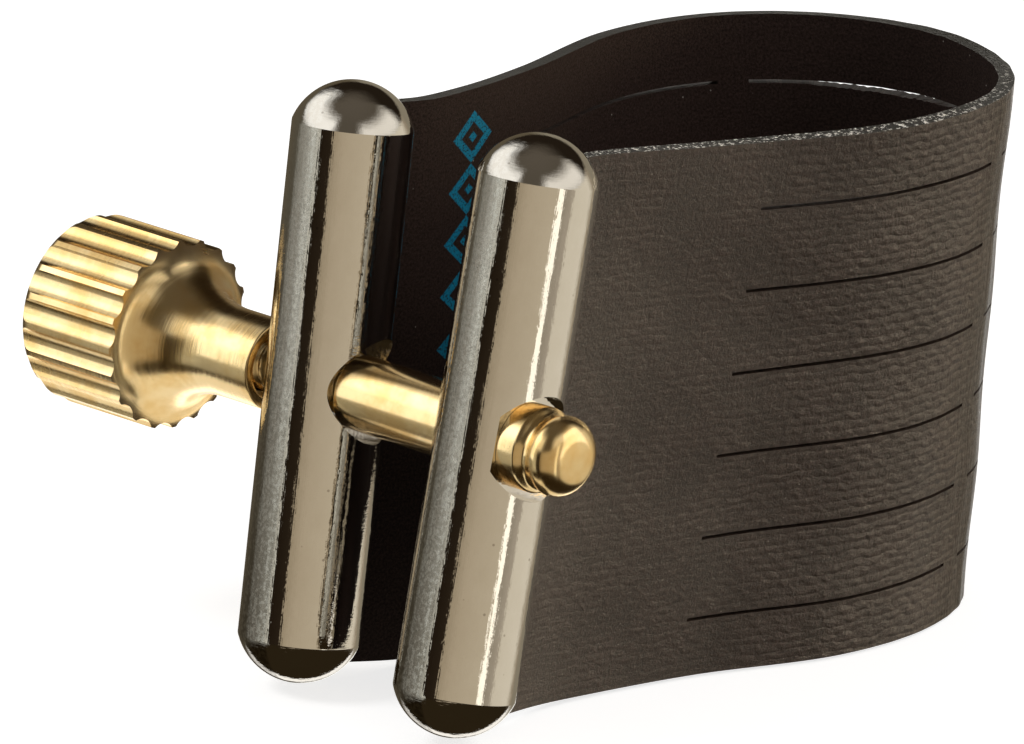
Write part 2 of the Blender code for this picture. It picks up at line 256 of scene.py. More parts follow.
def brass_material(name, line_scale, line_depth, low_roughness, high_roughness):
    """Lathe-turned brass: fine rings round the piece's own Z."""
    material, g = material_graph(name)
    place = g.add("ShaderNodeTexCoord").outputs["Object"]
    rings = g.noise(g.stretch(place, (0.02, 0.02, 1.0)), line_scale, 4.0, 0.7)
    grain = g.noise(place, 2600.0, 2.0)
    stain = g.noise(place, 330.0, 4.0, 0.6)
    height = g.math("ADD", rings, g.math("MULTIPLY", grain, 0.2))
    tone = g.mix_colour(g.remap(stain, 0.38, 0.66), rgb(0.95, 0.735, 0.40), rgb(0.85, 0.58, 0.24))
    principled(g, {"Base Color": tone, "Metallic": 1.0,
                   "Roughness": g.remap(g.math("MULTIPLY_ADD", stain, 0.5, g.math("MULTIPLY", rings, 0.5)),
                                        0.3, 0.7, low_roughness, high_roughness, smooth=False),
                   "Normal": g.bump(height, line_depth, 0.7)})
    return material


def cloth_place(g):
    """The strap's own coordinates in millimetres: along its length, across its width."""
    return g.add("ShaderNodeAttribute", attribute_name="cloth").outputs["Vector"]


def weave_height(g, place, pitch_along, pitch_across):
    """Over-and-under threads of a plain weave."""
    parts = g.add("ShaderNodeSeparateXYZ", {"Vector": place})
    along = g.math("MULTIPLY", parts.outputs["X"], math.pi / pitch_along)
    across = g.math("MULTIPLY", parts.outputs["Y"], math.pi / pitch_across)
    warp = g.math("ABSOLUTE", g.math("SINE", along))
    weft = g.math("ABSOLUTE", g.math("SINE", across))
    over = g.math("MULTIPLY", g.math("SINE", along), g.math("SINE", across))
    ribs = g.math("ADD", g.math("MULTIPLY", warp, 0.15), g.math("MULTIPLY", weft, 0.55))
    return g.math("ADD", ribs, g.math("MULTIPLY", over, 0.35))


def outer_cloth_material():
    """Rubber-coated cloth: the weave shows through, with grit, worn patches, creases and dust."""
    material, g = material_graph("coated_outer_face")
    place = cloth_place(g)
    wobble = g.add("ShaderNodeTexNoise", {"Vector": place, "Scale": 0.9, "Detail": 3.0}).outputs["Color"]
    shift = g.add("ShaderNodeVectorMath", {0: wobble, "Scale": 0.7}, operation="SCALE").outputs["Vector"]
    bent = g.add("ShaderNodeVectorMath", {0: place, 1: shift}, operation="ADD").outputs["Vector"]
    weave = weave_height(g, bent, 0.62, 0.50)
    parts = g.add("ShaderNodeSeparateXYZ", {"Vector": place})
    apex = g.remap(g.math("ABSOLUTE", g.math("SUBTRACT", parts.outputs["X"], BEND_MIDDLE)), 13.0, 4.0)
    toward_apex = g.remap(parts.outputs["X"], 10.0, 31.0)
    wear_and_painted_shade = g.remap(g.noise(place, 0.30, 4.0, 0.6), 0.38, 0.62)
    grit = g.noise(place, 5.0, 5.0, 0.75)
    lumps = g.noise(g.stretch(place, (0.8, 1.25, 1.0)), 1.9, 3.0, 0.6)
    creases = g.noise(g.stretch(place, (2.6, 0.35, 1.0)), 1.1, 4.0, 0.65, 0.6)
    depth = g.math("MULTIPLY_ADD", toward_apex, 0.95, g.math("MULTIPLY_ADD", wear_and_painted_shade, 0.25, 0.12))
    height = g.math("ADD", g.math("MULTIPLY", g.math("ADD", g.math("MULTIPLY", weave, 0.55),
                                                     g.math("MULTIPLY", lumps, 1.1)), depth),
                    g.math("ADD", g.math("MULTIPLY", grit, 0.55),
                           g.math("MULTIPLY", creases, g.math("MULTIPLY_ADD", apex, 6.5, 0.2))))
    dust_cells = g.add("ShaderNodeTexVoronoi", {"Vector": place, "Scale": 1.25, "Randomness": 1.0})
    dust = g.remap(dust_cells.outputs["Distance"], 0.065, 0.03)
    speckle = g.math("MULTIPLY_ADD", g.remap(grit, 0.32, 0.68), 0.8, g.math("MULTIPLY", wear_and_painted_shade, 0.2))
    shade = g.mix_colour(speckle, rgb(0.012, 0.0078, 0.0062), rgb(0.064, 0.042, 0.034))
    colour = g.mix_colour(g.math("MULTIPLY", dust, 0.6), shade, rgb(0.36, 0.33, 0.29))
    principled(g, {"Base Color": colour,
                   "Roughness": g.remap(grit, 0.3, 0.7, 0.30, 0.46, smooth=False),
                   "Specular IOR Level": 0.5, "Coat Weight": 0.3, "Coat Roughness": 0.2,
                   "Normal": g.bump(height, 0.00014, 1.0)})
    return material


def inner_cloth_material():
    material, g = material_graph("cloth_inner_face")
    place = cloth_place(g)
    weave = weave_height(g, place, 0.60, 0.95)
    fuzz = g.noise(place, 7.0, 5.0, 0.75)
    shade = g.mix_colour(g.remap(fuzz, 0.3, 0.75), rgb(0.009, 0.0054, 0.0045), rgb(0.048, 0.030, 0.025))
    lint_cells = g.add("ShaderNodeTexVoronoi", {"Vector": place, "Scale": 0.8, "Randomness": 1.0})
    lint = g.remap(lint_cells.outputs["Distance"], 0.05, 0.02)
    shade = g.mix_colour(g.math("MULTIPLY", lint, 0.7), shade, rgb(0.40, 0.37, 0.33))
    parts = g.add("ShaderNodeSeparateXYZ", {"Vector": place})
    ink = printed_chain(g, parts.outputs["X"], parts.outputs["Y"], fuzz)
    colour = g.mix_colour(ink, shade, rgb(0.006, 0.20, 0.34))
    principled(g, {"Base Color": colour, "Roughness": 0.9, "Specular IOR Level": 0.2,
                   "Normal": g.bump(g.math("ADD", g.math("MULTIPLY", weave, 0.4), fuzz), 0.00009, 0.7)})
    return material


def printed_chain(g, along, across, fuzz):
    """A chain of lozenges printed near the strap's rear end, broken up by the cloth."""
    aside = g.math("ABSOLUTE", g.math("SUBTRACT", along, PRINT_MIDDLE))
    link = g.math("FRACT", g.math("DIVIDE", across, PRINT_PITCH))
    run = g.math("MULTIPLY", g.math("ABSOLUTE", g.math("SUBTRACT", link, 0.5)), 2.0)
    dot = g.math("ADD", g.math("DIVIDE", aside, PRINT_HALF_WIDTH), run)
    ring = g.math("ABSOLUTE", g.math("SUBTRACT", dot, 0.78))
    drawn = g.math("MAXIMUM", g.remap(ring, 0.24, 0.17), g.remap(dot, 0.24, 0.18))
    middle = (PRINT_BOTTOM + PRINT_TOP) / 2.0
    inside = g.remap(g.math("ABSOLUTE", g.math("SUBTRACT", across, middle)),
                     (PRINT_TOP - PRINT_BOTTOM) / 2.0, (PRINT_TOP - PRINT_BOTTOM) / 2.0 - 0.05)
    broken = g.remap(fuzz, 0.40, 0.50)
    return g.math("MULTIPLY", g.math("MULTIPLY", drawn, inside), broken)


def cut_edge_material():
    """The strap's cut border: dark cloth with bright thread ends."""
    material, g = material_graph("cloth_cut_edge")
    place = g.add("ShaderNodeTexCoord").outputs["Object"]
    threads = g.noise(place, 4200.0, 4.0, 0.75)
    parts = g.add("ShaderNodeSeparateXYZ", {"Vector": cloth_place(g)})
    bright = g.math("MULTIPLY", g.remap(threads, 0.54, 0.63), g.remap(parts.outputs["X"], 42.0, 22.0))
    colour = g.mix_colour(bright, rgb(0.008, 0.0066, 0.0036), rgb(0.80, 0.77, 0.71))
    principled(g, {"Base Color": colour, "Roughness": 0.85, "Specular IOR Level": 0.15,
                   "Normal": g.bump(threads, 0.0001, 0.9)})
    return material


# ---------------------------------------------------------------- strap

def rod_rotation(lean, tilt):
    return Matrix.Rotation(tilt, 3, "Y") @ Matrix.Rotation(-lean, 3, "X")


def smooth_path(points, steps=60):
    ends = [points[0] * 2.0 - points[1]] + points + [points[-1] * 2.0 - points[-2]]
    path = []
    for p0, p1, p2, p3 in zip(ends, ends[1:], ends[2:], ends[3:]):
        for i in range(steps):
            t = i / steps
            path.append(0.5 * (2.0 * p1 + (p2 - p0) * t + (2.0 * p0 - 5.0 * p1 + 4.0 * p2 - p3) * t * t
                               + (3.0 * p1 - p0 - 3.0 * p2 + p3) * t ** 3))
    path.append(points[-1])
    return np.array([tuple(p) for p in path])


def strap_end(x, lean, tilt, along):
    outward = math.copysign(STRAP_THICKNESS / 2.0, x)
    return Vector((x, 0.0, 0.0)) + rod_rotation(lean, tilt) @ Vector((outward, STRAP_INSET, along))


def edge_path(side, apex, along):
    """One edge of the strap, from the front rod round the loop to the rear rod."""
    near = [Vector(p) * MM for p in side]
    far = [Vector((-p.x, p.y, p.z)) for p in reversed(near)]
    return smooth_path([strap_end(ROD_X, FRONT_LEAN, FRONT_TILT, along)] + near + [Vector(apex) * MM]
                       + far + [strap_end(-ROD_X, REAR_LEAN, REAR_TILT, along)])


class Edge:
    """An edge of the strap, measured along its length."""

    def __init__(self, path, side_set_start):
        self.path = path
        steps = np.linalg.norm(np.diff(path, axis=0), axis=1)
        self.lengths = np.concatenate(([0.0], np.cumsum(steps)))
        self.length = self.lengths[-1]
        sets = (side_set_start, SIDE_SET_END, MIDDLE_SET_START)
        near = [0.0] + [s - path[0][1] for s in sets]
        far = [self.length] + [self.length - (s - path[-1][1]) for s in sets]
        self.stations = near + far[::-1]

    def at(self, distances):
        return np.stack([np.interp(distances, self.lengths, self.path[:, k]) for k in range(3)], axis=1)

    def columns(self, counts):
        """Distances along the edge for each column of the mesh, even between two stations."""
        parts = [np.linspace(a, b, n, endpoint=False)
                 for a, b, n in zip(self.stations, self.stations[1:], counts)]
        return np.concatenate(parts + [[self.length]])


TOP_EDGE = Edge(edge_path(TOP_SIDE, TOP_APEX, STRAP_TOP_END), TOP_SIDE_SET_START)
LOWER_EDGE = Edge(edge_path(LOWER_SIDE, LOWER_APEX, STRAP_LOWER_END), LOWER_SIDE_SET_START)
COLUMN_COUNTS = (64, 96, 14, 124, 14, 96, 64)
SLIT_SETS = (1, 3, 5)


def strap_rows():
    """Shares of the strap's width, from its top edge, with a close pair of rows at each slit."""
    rows, slit_gaps = [0.0], set()
    for i in range(SLIT_ROWS):
        middle = FIRST_SLIT + i * SLIT_PITCH
        start = rows[-1]
        steps = 10 if i else 8
        rows += [start + (middle - SLIT_WIDTH / 2.0 - start) * (k + 1) / steps for k in range(steps)]
        slit_gaps.add(len(rows) - 1)
        rows.append(middle + SLIT_WIDTH / 2.0)
    start = rows[-1]
    rows += [start + (1.0 - start) * (k + 1) / 8 for k in range(8)]
    return np.array(rows), slit_gaps


def slit_columns():
    inside, first = set(), 0
    for index, count in enumerate(COLUMN_COUNTS):
        if index in SLIT_SETS:
            inside.update(range(first, first + count))
        first += count
    return inside


def wrinkles(along, across):
    """How far the outer face stands proud: soft folds across the bend of the loop, in metres."""
    apex = np.exp(-((along - FOLDS_MIDDLE) / FOLDS_REACH) ** 2)
    folds = np.sin(along * 2.9 + 1.3 * np.sin(across * 0.31)) * np.sin(across * 0.17 + along * 0.4)
    slow = np.sin(along * 0.35 + across * 0.22) * np.sin(across * 0.41 - along * 0.13)
    return (0.030 * apex * folds + 0.10 * slow) * MM


def gape(along):
    """How wide the top slit gapes past the bend of the loop, in millimetres."""
    start, end = GAPING_SLIT
    inside = np.clip((along - start) / (end - start), 0.0, 1.0)
    ragged = 0.70 + 0.22 * np.sin(along * 9.0) * np.sin(along * 3.7) + 0.12 * np.sin(along * 23.0)
    return GAPE * np.sin(np.pi * inside ** 0.65) ** 0.5 * ragged


def strap_surface():
    """The outer face as a grid of points, and each point's cloth coordinates in millimetres."""
    rows, slit_gaps = strap_rows()
    high = TOP_EDGE.at(TOP_EDGE.columns(COLUMN_COUNTS))
    low = LOWER_EDGE.at(LOWER_EDGE.columns(COLUMN_COUNTS))
    middle = (high + low) / 2.0
    along = np.concatenate(([0.0], np.cumsum(np.linalg.norm(np.diff(middle, axis=0), axis=1)))) / MM
    rows = np.repeat(rows[None, :], len(high), axis=0)
    rows[:, min(slit_gaps) + 1] += gape(along) * MM / CLOTH_WIDTH
    points = high[:, None, :] + (low - high)[:, None, :] * rows[:, :, None]
    along = np.repeat(along[:, None], rows.shape[1], axis=1)
    across = (0.5 - rows) * CLOTH_WIDTH / MM
    run = np.gradient(points, axis=0)
    fall = np.gradient(points, axis=1)
    normal = np.cross(fall, run)
    normal /= np.linalg.norm(normal, axis=2, keepdims=True)
    held = np.clip(np.minimum(along, along.max() - along) / HELD_REACH, 0.0, 1.0)
    points = points + normal * (wrinkles(along, across) * held)[:, :, None]
    points += np.array((0.0, SCREW_Y, SCREW_Z))
    return points, along, across, slit_gaps


def make_strap():
    points, along, across, slit_gaps = strap_surface()
    columns, rows = points.shape[:2]
    index = np.arange(columns * rows).reshape(columns, rows)
    slit_run = slit_columns()
    faces = []
    for i in range(columns - 1):
        for j in range(rows - 1):
            if j in slit_gaps and i in slit_run:
                continue
            faces.append((index[i, j], index[i, j + 1], index[i + 1, j + 1], index[i + 1, j]))
    mesh = bpy.data.meshes.new("strap_cloth")
    mesh.from_pydata(points.reshape(-1, 3).tolist(), [], [tuple(map(int, f)) for f in faces])
    cloth = mesh.attributes.new("cloth", "FLOAT_VECTOR", "POINT")
    values = np.stack((along, across, np.zeros_like(along)), axis=2).reshape(-1)
    cloth.data.foreach_set("vector", values.astype(np.float32))
    for material in (outer_cloth_material(), inner_cloth_material(), cut_edge_material()):
        mesh.materials.append(material)
    strap = bpy.data.objects.new("strap_cloth", mesh)
    bpy.context.scene.collection.objects.link(strap)
    thickness = strap.modifiers.new("thickness", "SOLIDIFY")
    thickness.thickness = STRAP_THICKNESS
    thickness.offset = -1.0
    thickness.material_offset = INNER_FACE
    thickness.material_offset_rim = CUT_EDGE
    apply_modifiers(strap)
    darken_slit_walls(strap.data)
    strap.data.shade_smooth()
    strap.data.set_sharp_from_angle(angle=math.radians(50.0))
    return strap


def darken_slit_walls(mesh):
    """Gives the slits' walls the inner cloth, so only the outer border shows cut thread ends."""
    cloth = mesh.attributes["cloth"].data
    border = CLOTH_WIDTH / MM / 2.0 - 0.05
    for polygon in mesh.polygons:
        across = sum(cloth[v].vector.y for v in polygon.vertices) / len(polygon.vertices)
        if polygon.material_index == CUT_EDGE and abs(across) < border:
            polygon.material_index = INNER_FACE


def apply_modifiers(piece):
    """Replaces a piece's mesh by its evaluated one."""
    bpy.context.view_layer.update()
    evaluated = piece.evaluated_get(bpy.context.evaluated_depsgraph_get())
    mesh = bpy.data.meshes.new_from_object(evaluated)
    piece.modifiers.clear()
    piece.data = mesh


# ---------------------------------------------------------------- turned pieces

def arc(centre_r, centre_z, radius_r, radius_z, start, end, steps):
    """Points of an elliptical arc in the (r, z) plane; angles in degrees from +r."""
    angles = [math.radians(start + (end - start) * i / steps) for i in range(steps + 1)]
    return [(centre_r + radius_r * math.cos(a), centre_z + radius_z * math.sin(a)) for a in angles]


def ogee(start_r, start_z, end_r, end_z, steps):
    """Points of a smooth S from just after one (r, z) to another, level with the axis at both ends."""
    points = []
    for i in range(1, steps + 1):
        t = i / steps
        ease = t * t * (3.0 - 2.0 * t)
        points.append((start_r + (end_r - start_r) * ease, start_z + (end_z - start_z) * t))
    return points


def turned(name, profile, steps, material):
    """A round piece about its own Z from a profile of (r, z) that runs from top to bottom."""
    mesh = bpy.data.meshes.new(name)
    mesh.from_pydata([(r, 0.0, z) for r, z in profile], [(i, i + 1) for i in range(len(profile) - 1)], [])
    mesh.materials.append(material)
    piece = bpy.data.objects.new(name, mesh)
    bpy.context.scene.collection.objects.link(piece)
    screw = piece.modifiers.new("turn", "SCREW")
    screw.steps = screw.render_steps = steps
    screw.use_merge_vertices = True
    screw.merge_threshold = 0.0000005
    apply_modifiers(piece)
    piece.data.shade_smooth()
    piece.data.set_sharp_from_angle(angle=math.radians(30.0))
    return piece


def softened(profile, corners, radius, steps=4):
    """Rounds the numbered corners of a profile by a small radius."""
    result = []
    for i, point in enumerate(profile):
        if i not in corners:
            result.append(point)
            continue
        here = Vector(point)
        before = Vector(profile[i - 1]) - here
        after = Vector(profile[i + 1]) - here
        reach = min(radius, before.length * 0.45, after.length * 0.45)
        start, end = here + before.normalized() * reach, here + after.normalized() * reach
        for k in range(steps + 1):
            t = k / steps
            blend = start * (1 - t) ** 2 + here * (2 * t * (1 - t)) + end * t ** 2
            result.append((blend.x, blend.y))
    return result


def cylinder_between(name, radius, start, end):
    run = end - start
    bpy.ops.mesh.primitive_cylinder_add(vertices=128, radius=radius, depth=run.length,
                                        location=(start + end) / 2.0)
    cutter = bpy.context.object
    cutter.name = name
    cutter.rotation_euler = run.to_track_quat("Z", "Y").to_euler()
    return cutter


def cut_away(piece, cutters):
    """Cuts the cutters out of a piece, and removes them."""
    for cutter in cutters:
        boolean = piece.modifiers.new(cutter.name, "BOOLEAN")
        boolean.operation = "DIFFERENCE"
        boolean.solver = "EXACT"
        boolean.object = cutter
    apply_modifiers(piece)
    for cutter in cutters:
        bpy.data.objects.remove(cutter, do_unlink=True)


def on_screw_axis(x):
    return Vector((x, SCREW_Y, SCREW_Z))


# ---------------------------------------------------------------- rods

CAP_RADIUS = (ROD_RADIUS ** 2 + DOME_HEIGHT ** 2) / (2.0 * DOME_HEIGHT)
CAP_CENTRE = ROD_LENGTH / 2.0 - CAP_RADIUS


def rod_profile():
    edge = math.degrees(math.asin((CAP_RADIUS - DOME_HEIGHT) / CAP_RADIUS))
    top = arc(0.0, CAP_CENTRE, CAP_RADIUS, CAP_RADIUS, 90.0, edge, 28)
    top[0] = (0.0, ROD_LENGTH / 2.0)
    top = softened(top + [(ROD_RADIUS, 0.0)], {28}, 0.12 * MM, 5)[:-1]
    return top + [(r, -z) for r, z in reversed(top)]


def true_rod_normals(rod):
    """Gives the rod's outer skin the exact normals of its cylinder and domes."""
    mesh = rod.data
    straight = DOME_START - 0.13 * MM
    normals = []
    for polygon in mesh.polygons:
        for vertex in polygon.vertices:
            p = mesh.vertices[vertex].co
            if abs(p.z) <= straight:
                exact = Vector((p.x, p.y, 0.0)).normalized()
                on_skin = abs(math.hypot(p.x, p.y) - ROD_RADIUS) < 0.01 * MM
            else:
                from_centre = p - Vector((0.0, 0.0, math.copysign(CAP_CENTRE, p.z)))
                exact = from_centre.normalized()
                on_skin = abs(from_centre.length - CAP_RADIUS) < 0.01 * MM
            near = exact.dot(polygon.normal) > 0.985
            normals.append(exact if on_skin and near else polygon.normal.copy())
    mesh.normals_split_custom_set(normals)


def make_rod(name, x, lean, tilt, material, bore):
    rotation = rod_rotation(lean, tilt)
    rod = turned(name, rod_profile(), 192, material)
    rod.location = on_screw_axis(x)
    rod.rotation_euler = rotation.to_euler()
    reach = Vector((ROD_RADIUS * 1.5, 0.0, 0.0))
    hole = cylinder_between(name + "_hole", HOLE_RADIUS, rod.location - reach, rod.location + reach)
    bpy.ops.mesh.primitive_cube_add(size=1.0)
    slot = bpy.context.object
    slot.name = name + "_slot"
    slot.data.transform(Matrix.Diagonal((SLOT_WIDTH, ROD_RADIUS, ROD_LENGTH * 1.1, 1.0)))
    slot.location = rod.location + rotation @ Vector((0.0, SLOT_FLOOR + ROD_RADIUS / 2.0, 0.0))
    slot.rotation_euler = rod.rotation_euler
    cut_away(rod, [hole, slot, cylinder_between(name + "_bore", COUNTERBORE_RADIUS, *bore)])
    true_rod_normals(rod)
    return rod


def make_rods():
    nickel = nickel_material()
    rear_at = on_screw_axis(-ROD_X)
    facing = Vector((math.cos(REAR_TURN), math.sin(REAR_TURN), 0.0))
    rear_bore = (rear_at + facing * REAR_COUNTERBORE_FLOOR, rear_at + facing * ROD_RADIUS * 1.5)
    front_bore = (on_screw_axis(FRONT_SEAT_X), on_screw_axis(ROD_X + ROD_RADIUS * 1.5))
    rear = make_rod("rear_rod_plated", -ROD_X, REAR_LEAN, REAR_TILT, nickel, rear_bore)
    front = make_rod("front_rod_plated", ROD_X, FRONT_LEAN, FRONT_TILT, nickel, front_bore)
    return rear, front


# ---------------------------------------------------------------- brass pieces

KNOB_LENGTH = 14.2 * MM
HEAD_RADIUS = 5.0 * MM
HEAD_LENGTH = 6.9 * MM
HEAD_ROUNDING = 1.0 * MM
NECK_RADIUS = 2.35 * MM
NECK_LENGTH = 3.0 * MM
RECESS_RADIUS = 1.8 * MM
RECESS_DEPTH = 0.8 * MM
FLUTES = 20
FLUTE_RADIUS = 0.85 * MM
FLUTE_CENTRE = 5.53 * MM
FLUTE_OVERRUN = 0.55 * MM
STUD_RADIUS = 1.42 * MM
STUD_BORE_RADIUS = 1.50 * MM
STUD_ROOT_X = -13.6 * MM
STUD_TIP_X = 4.0 * MM
THREAD_PITCH = 0.6 * MM
THREAD_DEPTH = 0.32 * MM
BARREL_RADIUS = 1.95 * MM
BARREL_TAIL_X = -3.7 * MM
COLLAR_RADIUS = 2.25 * MM
COLLAR_BACK_X = 8.22 * MM
COLLAR_FRONT_X = 9.30 * MM
WAIST_RADIUS = 1.93 * MM
WAIST_X = 9.85 * MM
NOSE_BROAD_X = 10.65 * MM
NOSE_RADIUS = 2.12 * MM
NOSE_FLAT_RADIUS = 0.95 * MM
NOSE_TIP_X = 11.75 * MM
BARREL_BORE_END_X = 9.3 * MM
ALONG_X = (0.0, math.radians(90.0), 0.0)


def knob_profile():
    flare_radius = HEAD_RADIUS - NECK_RADIUS
    flare_length = KNOB_LENGTH - HEAD_LENGTH - NECK_LENGTH
    head_top = -(KNOB_LENGTH - HEAD_LENGTH)
    bore_floor = STUD_ROOT_X - NECK_FACE_X - 0.3 * MM
    profile = [(0.0, bore_floor), (STUD_BORE_RADIUS, bore_floor), (STUD_BORE_RADIUS, -RECESS_DEPTH),
               (RECESS_RADIUS, -RECESS_DEPTH), (RECESS_RADIUS, 0.0), (NECK_RADIUS, 0.0),
               (NECK_RADIUS, -NECK_LENGTH)]
    profile = softened(profile, {4, 5}, 0.12 * MM)[:-1]
    profile += arc(HEAD_RADIUS, -NECK_LENGTH, flare_radius, flare_length, 180.0, 270.0, 40)
    profile += [(HEAD_RADIUS, head_top - 0.3 * MM)]
    profile += arc(HEAD_RADIUS - HEAD_ROUNDING, HEAD_ROUNDING - KNOB_LENGTH,
                   HEAD_ROUNDING, HEAD_ROUNDING, 0.0, -90.0, 14)
    return profile + [(0.0, -KNOB_LENGTH)]


def flute_cutter(knob):
    """The flutes of the knob's head, as one ring of rods to cut away."""
    flutes = bmesh.new()
    for i in range(FLUTES):
        angle = 2.0 * math.pi * (i + 0.5) / FLUTES
        place = Matrix.Translation((FLUTE_CENTRE * math.cos(angle), FLUTE_CENTRE * math.sin(angle),
                                    HEAD_LENGTH / 2.0 - KNOB_LENGTH))
        bmesh.ops.create_cone(flutes, cap_ends=True, segments=48, radius1=FLUTE_RADIUS,
                              radius2=FLUTE_RADIUS, depth=HEAD_LENGTH + 2.0 * FLUTE_OVERRUN,
                              matrix=place)
    mesh = bpy.data.meshes.new("knob_flutes")
    flutes.to_mesh(mesh)
    flutes.free()
    cutter = bpy.data.objects.new("knob_flutes", mesh)
    bpy.context.scene.collection.objects.link(cutter)
    cutter.location = knob.location
    cutter.rotation_euler = knob.rotation_euler
    return cutter


def make_knob():
    material = brass_material("turned_knob_brass", 4200.0, 0.000018, 0.15, 0.30)
    knob = turned("thumbscrew_knob_turned", knob_profile(), 240, material)
    knob.location = on_screw_axis(NECK_FACE_X)
    knob.rotation_euler = ALONG_X
    cut_away(knob, [flute_cutter(knob)])
    knob.data.shade_smooth()
    knob.data.set_sharp_from_angle(angle=math.radians(28.0))
    return knob


def make_barrel_nut():
    material = brass_material("turned_barrel_brass", 7000.0, 0.000005, 0.13, 0.26)
    profile = [(0.0, NOSE_TIP_X), (NOSE_FLAT_RADIUS, NOSE_TIP_X)]
    profile += arc(NOSE_FLAT_RADIUS, NOSE_BROAD_X, NOSE_RADIUS - NOSE_FLAT_RADIUS,
                   NOSE_TIP_X - NOSE_BROAD_X, 84.0, 0.0, 22)
    profile += ogee(NOSE_RADIUS, NOSE_BROAD_X, WAIST_RADIUS, WAIST_X, 16)
    profile += ogee(WAIST_RADIUS, WAIST_X, COLLAR_RADIUS, COLLAR_FRONT_X, 12)
    back = len(profile)
    profile += [(COLLAR_RADIUS, COLLAR_BACK_X), (BARREL_RADIUS, COLLAR_BACK_X),
                (BARREL_RADIUS, BARREL_TAIL_X), (STUD_BORE_RADIUS, BARREL_TAIL_X),
                (STUD_BORE_RADIUS, BARREL_BORE_END_X), (0.0, BARREL_BORE_END_X)]
    profile = softened(profile, {back + 2}, 0.08 * MM)
    nut = turned("barrel_nut_turned", profile, 160, material)
    nut.location = on_screw_axis(0.0)
    nut.rotation_euler = ALONG_X
    return nut


def make_stud():
    """The stud with its helical thread, run out at both ends."""
    material = brass_material("stud_thread_brass", 9000.0, 0.000004, 0.20, 0.34)
    length = STUD_TIP_X - STUD_ROOT_X
    rows, sides = int(length / THREAD_PITCH * 12), 48
    points = []
    for i in range(rows + 1):
        z = length * i / rows
        lead = min(1.0, z / (0.3 * MM), (length - z) / (0.5 * MM))
        for k in range(sides):
            angle = 2.0 * math.pi * k / sides
            turn = (z / THREAD_PITCH - k / sides) % 1.0
            groove = THREAD_DEPTH * (1.0 - abs(2.0 * turn - 1.0)) * 1.15
            radius = STUD_RADIUS - min(groove, THREAD_DEPTH)
            radius = min(radius, STUD_RADIUS - THREAD_DEPTH * (1.0 - lead))
            points.append((radius * math.cos(angle), radius * math.sin(angle), z))
    faces = [(i * sides + k, i * sides + (k + 1) % sides,
              (i + 1) * sides + (k + 1) % sides, (i + 1) * sides + k)
             for i in range(rows) for k in range(sides)]
    faces += [tuple(range(sides))[::-1], tuple(rows * sides + k for k in range(sides))]
    mesh = bpy.data.meshes.new("threaded_stud_cut")
    mesh.from_pydata(points, [], faces)
    mesh.materials.append(material)
    stud = bpy.data.objects.new("threaded_stud_cut", mesh)
    bpy.context.scene.collection.objects.link(stud)
    stud.location = on_screw_axis(STUD_ROOT_X)
    stud.rotation_euler = ALONG_X
    mesh.shade_smooth()
    mesh.set_sharp_from_angle(angle=math.radians(60.0))
    return stud


# ---------------------------------------------------------------- studio

def toward(azimuth, elevation):
    """A unit vector; azimuth 0 looks along -Y from the object, and grows toward +X."""
    a, e = math.radians(azimuth), math.radians(elevation)
    return Vector((math.sin(a) * math.cos(e), -math.cos(a) * math.cos(e), math.sin(e)))


AWAY_FROM_CAMERA = -toward(CAMERA_AZIMUTH, CAMERA_ELEVATION)


def make_camera():
    azimuth, roll = math.radians(CAMERA_AZIMUTH), math.radians(CAMERA_ROLL)
    back = toward(CAMERA_AZIMUTH, CAMERA_ELEVATION)
    level = Vector((math.cos(azimuth), math.sin(azimuth), 0.0))
    rise = back.cross(level)
    right = level * math.cos(roll) + rise * math.sin(roll)
    up = back.cross(right)
    data = bpy.data.cameras.new("camera")
    data.lens = CAMERA_LENS_MM
    data.sensor_width = 36.0
    data.clip_start, data.clip_end = 0.01, 10.0
    camera = bpy.data.objects.new("camera", data)
    camera.matrix_world = Matrix((right, up, back)).transposed().to_4x4()
    camera.location = CAMERA_AIM + back * CAMERA_DISTANCE
    bpy.context.scene.collection.objects.link(camera)
    bpy.context.scene.camera = camera


# The world's parts, in degrees: azimuths as in toward(), and rises above the level.
MOTTLED_WALL = (-72.0, -20.0)
REAR_PANEL = (-153.0, -136.0)
SOFTBOXES = [((-108.0, 4.0), (17.0, 54.0), rgb(0.98, 0.96, 0.91)),
             ((63.0, 158.0), (15.0, 47.0), rgb(0.80, 0.76, 0.69))]
SOFTBOX_EDGE = 13.0
CEILING_START = (14.0, 21.0)
GROUND_START = (-29.0, -37.0)
GROUND_RING = (23.0, 41.0)         # from the direction straight away from the camera


def level_bands(g, direction, degrees, rise):
    """The bands at the object's level, mottled on the left, with a bright panel low at the rear."""
    share = g.math("ADD", g.math("DIVIDE", degrees, 360.0), 0.5)
    level = g.ramp(share, [(azimuth / 360.0 + 0.5, colour) for azimuth, colour in LEVEL_BANDS])
    mottle = g.remap(g.noise(direction, 34.0, 5.0, 0.75), 0.42, 0.62)
    level = g.mix_colour(g.math("MULTIPLY", mottle, g.window(degrees, *MOTTLED_WALL, 3.0)),
                         level, rgb(0.10, 0.10, 0.085))
    panel = g.math("MULTIPLY", g.window(degrees, *REAR_PANEL, 2.0), g.remap(rise, -7.0, -13.0))
    return g.mix_colour(panel, level, rgb(1.05, 1.03, 0.98))


